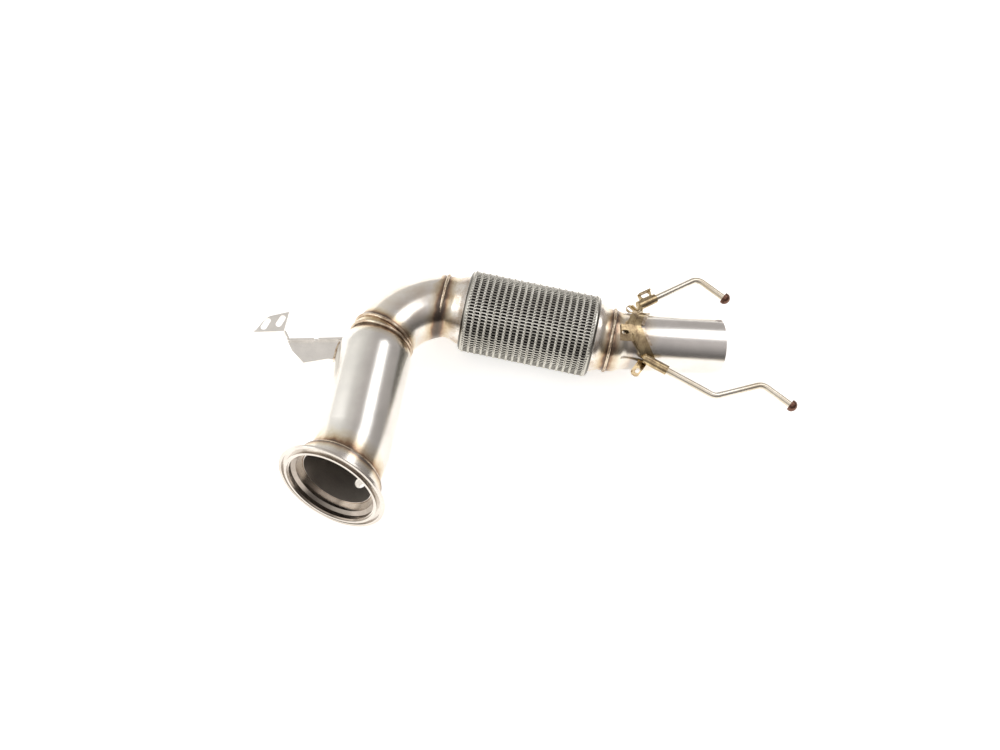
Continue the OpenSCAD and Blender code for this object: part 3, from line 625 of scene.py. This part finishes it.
# Painted shade: a darker copy of the flange's steel for the walls of its mouth
MOUTH_SHADE = MetalFinish(
    "mouth_painted_shade", (0.50, 0.45, 0.405), 0.22, Grain.TURNED, INLET_FACE,
    shade=(0.33, 0.29, 0.255))


def deselect() -> None:
    """Leave edit mode and select nothing."""
    if bpy.context.object and bpy.context.object.mode != "OBJECT":
        bpy.ops.object.mode_set(mode="OBJECT")
    bpy.ops.object.select_all(action="DESELECT")


def activate(piece: bpy.types.Object) -> None:
    """Make one object the selected and active one.

    Args:
        piece: the object.
    """
    deselect()
    piece.select_set(True)
    bpy.context.view_layer.objects.active = piece


def pick(piece: bpy.types.Object, kind: MeshPart, wanted: Callable[[Vector], bool]) -> None:
    """Select parts of the mesh in edit mode by their place.

    Args:
        piece: the object in edit mode.
        kind: what is selected.
        wanted: the test on a part's middle, in millimetres.
    """
    mesh = bmesh.from_edit_mesh(piece.data)
    for part in (*mesh.verts, *mesh.edges, *mesh.faces):
        part.select = False
    for part in getattr(mesh, kind.value):
        if kind is MeshPart.VERTS:
            middle = part.co
        else:
            middle = sum((corner.co for corner in part.verts), Vector()) / len(part.verts)
        if wanted(middle / MM):
            part.select_set(True)
    bmesh.update_edit_mesh(piece.data)


def place(piece: bpy.types.Object, placing: Matrix) -> None:
    """Move a mesh to its place and leave its object at the origin.

    Args:
        piece: the object.
        placing: where its own frame goes.
    """
    activate(piece)
    piece.matrix_world = placing
    bpy.ops.object.transform_apply(location=True, rotation=True, scale=True)


def hand_over(piece: bpy.types.Object, slot: str, material: bpy.types.Material,
              *nodes: str) -> None:
    """Give a piece its material, hang it on the body and hide the CAD nodes that it stands for.

    Args:
        piece: the finished object.
        slot: not used.
        material: its finish.
        nodes: the CAD nodes that it stands for.
    """
    piece.data.materials.clear()
    piece.data.materials.append(material)
    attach(piece, BODY)
    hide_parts(*nodes)
    log.info("%s: %d faces", piece.name, len(piece.data.polygons))


def closed_copy(node: str, smooth_deg: float) -> bpy.types.Object:
    """Copy a CAD node's loose triangles, join them and shade them smooth.

    Args:
        node: the CAD node.
        smooth_deg: edges flatter than this are smooth.

    Returns:
        The new piece.
    """
    deselect()
    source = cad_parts[node]
    piece = bpy.data.objects.new(node + "_piece", source.data.copy())
    bpy.context.scene.collection.objects.link(piece)
    activate(piece)
    bpy.ops.object.mode_set(mode="EDIT")
    bpy.ops.mesh.select_all(action="SELECT")
    bpy.ops.mesh.remove_doubles(threshold=CAD_MERGE * MM)
    bpy.ops.object.mode_set(mode="OBJECT")
    bpy.ops.mesh.customdata_custom_splitnormals_clear()
    bpy.ops.object.shade_smooth_by_angle(angle=math.radians(smooth_deg))
    return piece


def spun(name: str, outline: Outline, steps: int) -> bpy.types.Object:
    """Extrude a line through the points of an outline and spin it round Z.

    Args:
        name: the object's name.
        outline: radius and height of each point.
        steps: facets round the axis.

    Returns:
        The object, open where the outline is.
    """
    deselect()
    bpy.ops.mesh.primitive_plane_add(size=MM)
    piece = bpy.context.object
    piece.name = name
    bpy.ops.object.mode_set(mode="EDIT")
    bpy.ops.mesh.select_all(action="SELECT")
    bpy.ops.mesh.merge(type="CENTER")
    bpy.ops.mesh.select_all(action="SELECT")
    here = Vector((outline[0][0], 0, outline[0][1]))
    bpy.ops.transform.translate(value=here * MM)
    for radius, height in outline[1:]:
        there = Vector((radius, 0, height))
        bpy.ops.mesh.extrude_region_move(TRANSFORM_OT_translate={"value": (there - here) * MM})
        here = there
    bpy.ops.mesh.select_all(action="SELECT")
    bpy.ops.mesh.spin(steps=steps, angle=math.tau, center=(0, 0, 0), axis=(0, 0, 1))
    bpy.ops.mesh.select_all(action="SELECT")
    bpy.ops.mesh.remove_doubles(threshold=SPIN_MERGE * MM)
    bpy.ops.mesh.normals_make_consistent(inside=False)
    bpy.ops.object.mode_set(mode="OBJECT")
    return piece


@dataclass(frozen=True)
class PlainPiece:
    """A CAD node that keeps its shape and gets its finish.

    Attributes:
        node: the CAD node.
        slot: the record's material slot.
        finish: its metal.
        smooth_deg: edges flatter than this are smooth.
        middle: points of the pipe's middle line, where the inside gets a material of its own with
            painted shade.
        inside: that material.
    """

    node: str
    slot: str
    finish: MetalFinish
    smooth_deg: float = 30.0
    middle: tuple[Triple, ...] = ()
    inside: MetalFinish = INSIDE_SHADE

    def build(self, effects: Effects) -> None:
        """Join, smooth and dress the copy, with painted shade on its inside where it has a middle
        line.

        Args:
            effects: the shared node groups.
        """
        piece = closed_copy(self.node, self.smooth_deg)
        hand_over(piece, self.slot, self.finish.make(effects), self.node)
        if self.middle:
            piece.data.materials.append(self.inside.make(effects))
            for face in piece.data.polygons:
                face.material_index = int(self.faces_inwards(face.center / MM, face.normal))

    def faces_inwards(self, at: Vector, normal: Vector) -> bool:
        """Whether a face of the wall looks at the pipe's middle line.

        Args:
            at: the face's middle, in millimetres.
            normal: its direction.

        Returns:
            True inside the pipe.
        """
        ways = []
        for first, second in zip(self.middle, self.middle[1:]):
            start, run = Vector(first), Vector(second) - Vector(first)
            share = min(1.0, max(0.0, (at - start).dot(run) / run.length_squared))
            ways.append(start + share * run - at)
        nearest = min(ways, key=lambda way: way.length)
        return normal.dot(nearest.normalized()) > INWARDS


def plain_bead(node: str) -> PlainPiece:
    """A weld that keeps the shape of its CAD node."""
    return PlainPiece(node, "weld_bead", BEAD, smooth_deg=60.0)


@dataclass
class RippledBead:
    """A round weld bead laid in small overlapping ripples.

    Attributes:
        node: the CAD node that it stands for.
        seam: where it lies.
        pipe_r: radius of the pipe under it.
        bead_r: radius of the bead.
        ripples: how many go round.
        sections: rings of points in one ripple.
        facets: points round the bead.
        dip: how deep the first ring of a ripple is sunk.
        smooth_deg: edges flatter than this are smooth.
    """

    node: str
    seam: Seam
    pipe_r: float
    bead_r: float = 2.15
    ripples: int = 110
    sections: int = 3
    facets: int = 12
    dip: float = 0.28
    smooth_deg: float = 60.0

    def build(self, effects: Effects) -> None:
        """Make the ring, sink the first section of each ripple and dress it.

        Args:
            effects: the shared node groups.
        """
        rings = self.sections * self.ripples
        step = math.tau / rings
        deselect()
        bpy.ops.mesh.primitive_torus_add(
            major_radius=self.pipe_r * MM, minor_radius=self.bead_r * MM,
            major_segments=rings, minor_segments=self.facets)
        piece = bpy.context.object
        piece.name = self.node + "_piece"
        bpy.ops.object.mode_set(mode="EDIT")
        pick(piece, MeshPart.VERTS,
             lambda at: round(math.atan2(at.y, at.x) / step) % self.sections == 0)
        bpy.ops.transform.shrink_fatten(value=-self.dip * MM)
        bpy.ops.object.mode_set(mode="OBJECT")
        place(piece, self.seam.placing())
        bpy.ops.object.shade_smooth_by_angle(angle=math.radians(self.smooth_deg))
        hand_over(piece, "weld_bead", BEAD.make(effects), self.node)


@dataclass(frozen=True)
class BraidSleeve:
    """The woven sleeve of the coupling: ribs round it, a knuckle for each wire, slots between.

    Attributes:
        length: from rim to rim.
        outer_r: radius over the ribs.
        rib_height: of a rib over the sleeve.
        fold_r: radius of the rim.
        rim: distance of the outline's first and last point from the sleeve's ends.
        wall: thickness of the sheet.
        ribs: how many.
        cells: wires round the sleeve.
        columns: strips of faces in one cell, of which the first is a bar and the others a slot.
        knuckle: how deep a rib dips between two wires.
        rib_from: place of the first rib.
        rib_shape: points of a rib, along the sleeve and as a share of its height.
        slot_band: how far from the middle between two ribs a slot's faces have their middle, as a
            share of the pitch.
        shoulder_from: place where the round shoulder starts.
        shoulder_depth: its length.
        shoulder_turn_deg: angle between two of its points.
        smooth_deg: edges flatter than this are smooth.
    """

    length: float = 163.0
    outer_r: float = 51.0
    rib_height: float = 0.9
    fold_r: float = 46.9
    rim: float = 0.2
    wall: float = 1.1
    ribs: int = 20
    cells: int = 82
    columns: int = 3
    knuckle: float = 1.2
    rib_from: float = 6.0
    rib_shape: tuple[tuple[float, float], ...] = (
        (-1.5, 0.0), (-1.1, 0.7), (-0.5, 1.0), (0.5, 1.0), (1.1, 0.7), (1.5, 0.0))
    slot_band: float = 0.12
    shoulder_from: float = 0.6
    shoulder_depth: float = 3.7
    shoulder_turn_deg: int = 15
    smooth_deg: float = 50.0

    def pitch(self) -> float:
        """Distance between two ribs."""
        return (self.length - 2 * self.rib_from) / (self.ribs - 1)

    def outline(self) -> Outline:
        """The sleeve's outer line.

        Returns:
            Radius and height of each point, from end to end.
        """
        base_r = self.outer_r - self.rib_height
        corner = base_r - self.fold_r
        start = [(self.fold_r, self.rim)]
        for degrees in range(0, 90, self.shoulder_turn_deg):
            turn = math.radians(degrees)
            start.append((self.fold_r + corner * math.sin(turn),
                          self.shoulder_from + self.shoulder_depth * (1 - math.cos(turn))))
        pitch = self.pitch()
        ribs = [(base_r + self.rib_height * up, self.rib_from + k * pitch + along)
                for k in range(self.ribs) for along, up in self.rib_shape]
        return start + ribs + [(r, self.length - z) for r, z in reversed(start)]

    def build(self, effects: Effects) -> None:
        """Spin the sleeve, shape its weave, cut its slots, thicken and dress it.

        Args:
            effects: the shared node groups.
        """
        around = self.columns * self.cells
        step = math.tau / around
        pitch = self.pitch()
        last = self.rib_from + (self.ribs - 1) * pitch
        crest = self.outer_r - 0.5 * self.rib_height

        def in_valley(at: Vector) -> bool:
            """Whether a point of a rib lies between two wires."""
            column = round(math.atan2(at.y, at.x) / step) % self.columns
            return math.hypot(at.x, at.y) > crest and column == 0

        def in_slot(at: Vector) -> bool:
            """Whether a face lies in a slot between two ribs."""
            between = ((at.z - self.rib_from) / pitch) % 1.0
            column = math.floor(math.atan2(at.y, at.x) / step) % self.columns
            return (self.rib_from < at.z < last and abs(between - 0.5) < self.slot_band
                    and column != 0)

        piece = spun("braid_sleeve", self.outline(), around)
        bpy.ops.object.mode_set(mode="EDIT")
        pick(piece, MeshPart.VERTS, in_valley)
        shrink = 1 - self.knuckle / self.outer_r
        bpy.ops.transform.resize(value=(shrink, shrink, 1), center_override=(0, 0, 0))
        pick(piece, MeshPart.FACES, in_slot)
        bpy.ops.mesh.delete(type="FACE")
        bpy.ops.object.mode_set(mode="OBJECT")
        thick = piece.modifiers.new("wall", "SOLIDIFY")
        thick.thickness = self.wall * MM
        thick.offset = -1.0
        bpy.ops.object.modifier_apply(modifier=thick.name)
        place(piece, BRAID_START.placing())
        bpy.ops.object.shade_smooth_by_angle(angle=math.radians(self.smooth_deg))
        hand_over(piece, "braid_steel", WIRE.make(effects), "flex_braid")


@dataclass
class Assembly:
    """A sub-assembly, whose pieces all know how to build themselves.

    Attributes:
        parts: the pieces that keep their shape.
    """

    parts: tuple[PlainPiece, ...] = ()

    def build(self, effects: Effects) -> None:
        """Build and dress each piece.

        Args:
            effects: the shared node groups.
        """
        for part in self.parts:
            part.build(effects)


@dataclass
class InletEnd(Assembly):
    """The turned flange, the wide front tube and its sensor boss."""

    parts: tuple[PlainPiece, ...] = (
        PlainPiece("turbo_flange", "machined_flange", FLANGE,
                   smooth_deg=25.0, middle=FLANGE_LINE, inside=MOUTH_SHADE),
        plain_bead("flange_weld"),
        PlainPiece("front_tube", "tube_steel", FRONT, middle=FRONT_LINE),
        PlainPiece("sensor_boss", "boss_steel", BOSS, smooth_deg=25.0),
        plain_bead("sensor_boss_weld"),
    )


@dataclass
class NeckAndElbow(Assembly):
    """The wedge ring between its two beads, and the mandrel bend.

    Attributes:
        parts: the pieces that keep their shape.
        pipe_r: radius of the bend.
    """

    parts: tuple[PlainPiece, ...] = (
        PlainPiece("neck_ring", "ring_steel", RING),
        PlainPiece("elbow", "tube_steel", BEND, smooth_deg=35.0),
        plain_bead("lower_neck_weld"),
        plain_bead("upper_neck_weld"),
    )
    pipe_r: float = 38.1

    def build(self, effects: Effects) -> None:
        """Build the plain pieces, then the bead at the coupling.

        Args:
            effects: the shared node groups.
        """
        super().build(effects)
        RippledBead("elbow_weld", ELBOW_SEAM, self.pipe_r).build(effects)


@dataclass
class FlexCoupling(Assembly):
    """The coupling: collars, end rings, braid, bellows and liner.

    Attributes:
        parts: the pieces that keep their shape.
        sleeve: the braid.
        swage_r: radius of the pipe at the outlet weld.
    """

    parts: tuple[PlainPiece, ...] = (
        PlainPiece("inlet_collar", "tube_steel", INLET_COLLAR),
        PlainPiece("inlet_end_ring", "ring_steel", END_RING),
        PlainPiece("flex_bellows", "bellows_steel", BELLOWS_SHADE, smooth_deg=50.0),
        PlainPiece("flex_liner", "liner_steel", LINER),
        PlainPiece("outlet_end_ring", "ring_steel", END_RING),
        PlainPiece("outlet_collar", "tube_steel", OUTLET_COLLAR),
    )
    sleeve: BraidSleeve = BraidSleeve()
    swage_r: float = 38.5

    def build(self, effects: Effects) -> None:
        """Build the plain pieces, then the sleeve and the outlet bead.

        Args:
            effects: the shared node groups.
        """
        super().build(effects)
        self.sleeve.build(effects)
        RippledBead("outlet_weld", OUTLET_SEAM, self.swage_r).build(effects)


@dataclass
class HangerEnd(Assembly):
    """The outlet tube and the pressed saddle with its bent rods."""

    parts: tuple[PlainPiece, ...] = (
        PlainPiece("outlet_tube", "tube_steel", OUTLET, smooth_deg=35.0, middle=OUTLET_LINE),
        PlainPiece("hanger_saddle", "saddle_steel", SADDLE, smooth_deg=35.0),
        plain_bead("near_saddle_weld"),
        plain_bead("far_saddle_weld"),
        PlainPiece("near_hanger_rod", "rod_steel", ROD, smooth_deg=40.0),
        PlainPiece("far_hanger_rod", "rod_steel", ROD, smooth_deg=40.0),
        PlainPiece("near_rod_cap", "cap_steel", CAP),
        PlainPiece("far_rod_cap", "cap_steel", CAP),
    )


@dataclass
class SideSupport(Assembly):
    """The folded arm with its slotted tab."""

    parts: tuple[PlainPiece, ...] = (
        PlainPiece("side_support", "support_steel", ARM, smooth_deg=35.0),
        plain_bead("side_support_weld"),
    )


@dataclass(frozen=True)
class Softbox:
    """A soft lamp: where it hangs, its size, its power in watts and what it faces, in metres."""

    name: str
    at: Triple
    size: tuple[float, float]
    power: float
    aim: Triple = (0.0, 0.0, 0.05)

    def hang(self) -> None:
        """Add the lamp to the scene."""
        lamp = bpy.data.lights.new(self.name, "AREA")
        lamp.shape = "RECTANGLE"
        lamp.size, lamp.size_y = self.size
        lamp.energy = self.power
        holder = bpy.data.objects.new(self.name, lamp)
        holder.location = self.at
        towards = Vector(self.aim) - Vector(self.at)
        holder.rotation_euler = towards.to_track_quat("-Z", "Y").to_euler()
        bpy.context.scene.collection.objects.link(holder)


@dataclass
class Studio:
    """The camera, the floor, the surroundings and the lamps.

    Attributes:
        camera_at: the camera's place.
        camera_turn: its turn in degrees.
        focal_px: its focal length in pixels.
        picture_px: width of the picture in pixels.
        sensor: width of the sensor.
        sight_m: how far the camera sees, in metres.
        floor_m: side of the floor, in metres.
        floor_colour: its paint.
        floor_roughness: of the shader.
        floor_gloss: specular level of the shader.
        floor_glow: colour of its light for all but the camera.
        floor_seen: strength of that light for the camera.
        floor_mirrored: its strength in the metal.
        sky: brightness of the surroundings, by height.
        left_wall: their colour to the left.
        left_edge: where it starts and is full, across.
        back_wall: their colour behind the part.
        back_edge: where it starts and is full, in depth.
        lamps: the softboxes.
    """

    camera_at: Triple = (-4.635, -729.879, 1313.568)
    camera_turn: Triple = (30.001, -5.009, 10.768)
    focal_px: float = 1211.8
    picture_px: float = 1000.0
    sensor: float = 36.0
    sight_m: float = 50.0
    floor_m: float = 12.0
    floor_colour: Colour = (0.82, 0.81, 0.79)
    floor_roughness: float = 0.9
    floor_gloss: float = 0.1
    floor_glow: Colour = (1.0, 0.97, 0.92)
    floor_seen: float = 0.62
    floor_mirrored: float = 0.8
    sky: Stops = (
        (0.0, (0.13, 0.122, 0.115)), (0.30, (0.18, 0.168, 0.16)), (0.55, (0.36, 0.338, 0.325)),
        (0.8, (0.62, 0.58, 0.56)), (1.0, (0.67, 0.625, 0.605)))
    left_wall: Colour = (0.95, 0.93, 0.88)
    left_edge: tuple[float, float] = (-0.05, -0.75)
    back_wall: Colour = (0.52, 0.49, 0.47)
    back_edge: tuple[float, float] = (0.15, 0.6)
    lamps: tuple[Softbox, ...] = (
        Softbox("left_window", (-2.2, -0.2, 1.3), (2.2, 2.0), 20.0),
        Softbox("back_softbox", (1.0, 0.9, 2.0), (1.4, 1.0), 8.0),
        Softbox("over_softbox", (0.0, -0.9, 2.6), (2.2, 1.6), 7.0),
    )

    def set_camera(self) -> None:
        """Add the camera at the photograph's place."""
        data = bpy.data.cameras.new("camera")
        data.sensor_width = self.sensor
        data.lens = self.focal_px / self.picture_px * self.sensor
        data.clip_end = self.sight_m
        camera = bpy.data.objects.new("camera", data)
        camera.location = Vector(self.camera_at) * MM
        camera.rotation_euler = Euler([math.radians(turn) for turn in self.camera_turn], "XYZ")
        bpy.context.scene.collection.objects.link(camera)
        bpy.context.scene.camera = camera

    def lay_floor(self) -> None:
        """Lay a pale floor that reads as white and keeps the shadow."""
        deselect()
        bpy.ops.mesh.primitive_plane_add(size=self.floor_m)
        floor = bpy.context.object
        floor.name = "floor"
        material = bpy.data.materials.new("pale_floor")
        material.use_nodes = True
        graph = Graph(material.node_tree)
        surface = material.node_tree.nodes["Principled BSDF"]
        surface.inputs["Base Color"].default_value = (*self.floor_colour, 1.0)
        surface.inputs["Roughness"].default_value = self.floor_roughness
        surface.inputs["Specular IOR Level"].default_value = self.floor_gloss
        path = graph.node("ShaderNodeLightPath")
        to_camera = path.outputs["Is Camera Ray"]
        graph.feed(surface.inputs["Emission Color"], graph.mix(to_camera, self.floor_glow, WHITE))
        seen = graph.maths("MULTIPLY", to_camera, self.floor_seen)
        mirrored = graph.maths("MULTIPLY", path.outputs["Is Glossy Ray"], self.floor_mirrored)
        graph.feed(surface.inputs["Emission Strength"], graph.maths("MAXIMUM", seen, mirrored))
        floor.data.materials.append(material)

    def set_world(self) -> None:
        """Surround the scene with white for the camera and soft studio bands for the metal."""
        world = bpy.context.scene.world or bpy.data.worlds.new("studio")
        bpy.context.scene.world = world
        world.use_nodes = True
        graph = Graph(world.node_tree)
        sky = world.node_tree.nodes["Background"]
        split = graph.node("ShaderNodeSeparateXYZ")
        graph.feed(split.inputs[0], graph.node("ShaderNodeTexCoord").outputs["Generated"])
        left = graph.mapped(split.outputs["X"], *self.left_edge, 0.0, 1.0)
        back = graph.mapped(split.outputs["Y"], *self.back_edge, 0.0, 1.0)
        open_sky = graph.ramp(split.outputs["Z"], self.sky)
        studio = graph.mix(left, graph.mix(back, open_sky, self.back_wall), self.left_wall)
        to_camera = graph.node("ShaderNodeLightPath").outputs["Is Camera Ray"]
        graph.feed(sky.inputs["Color"], graph.mix(to_camera, studio, WHITE))
        sky.inputs["Strength"].default_value = 1.0

    def build(self) -> None:
        """Set up all of it."""
        bpy.context.scene.view_settings.view_transform = "Standard"
        self.set_camera()
        self.lay_floor()
        self.set_world()
        for lamp in self.lamps:
            lamp.hang()


def main() -> None:
    """Build the studio and every sub-assembly, in order along the pipe."""
    logging.basicConfig(level=logging.INFO, format="%(name)s %(message)s", stream=sys.stdout)
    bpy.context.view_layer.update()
    Studio().build()
    effects = Effects()
    for assembly in (InletEnd(), NeckAndElbow(), FlexCoupling(), HangerEnd(), SideSupport()):
        log.info("building %s", type(assembly).__name__)
        assembly.build(effects)


if __name__ == "__main__":
    main()
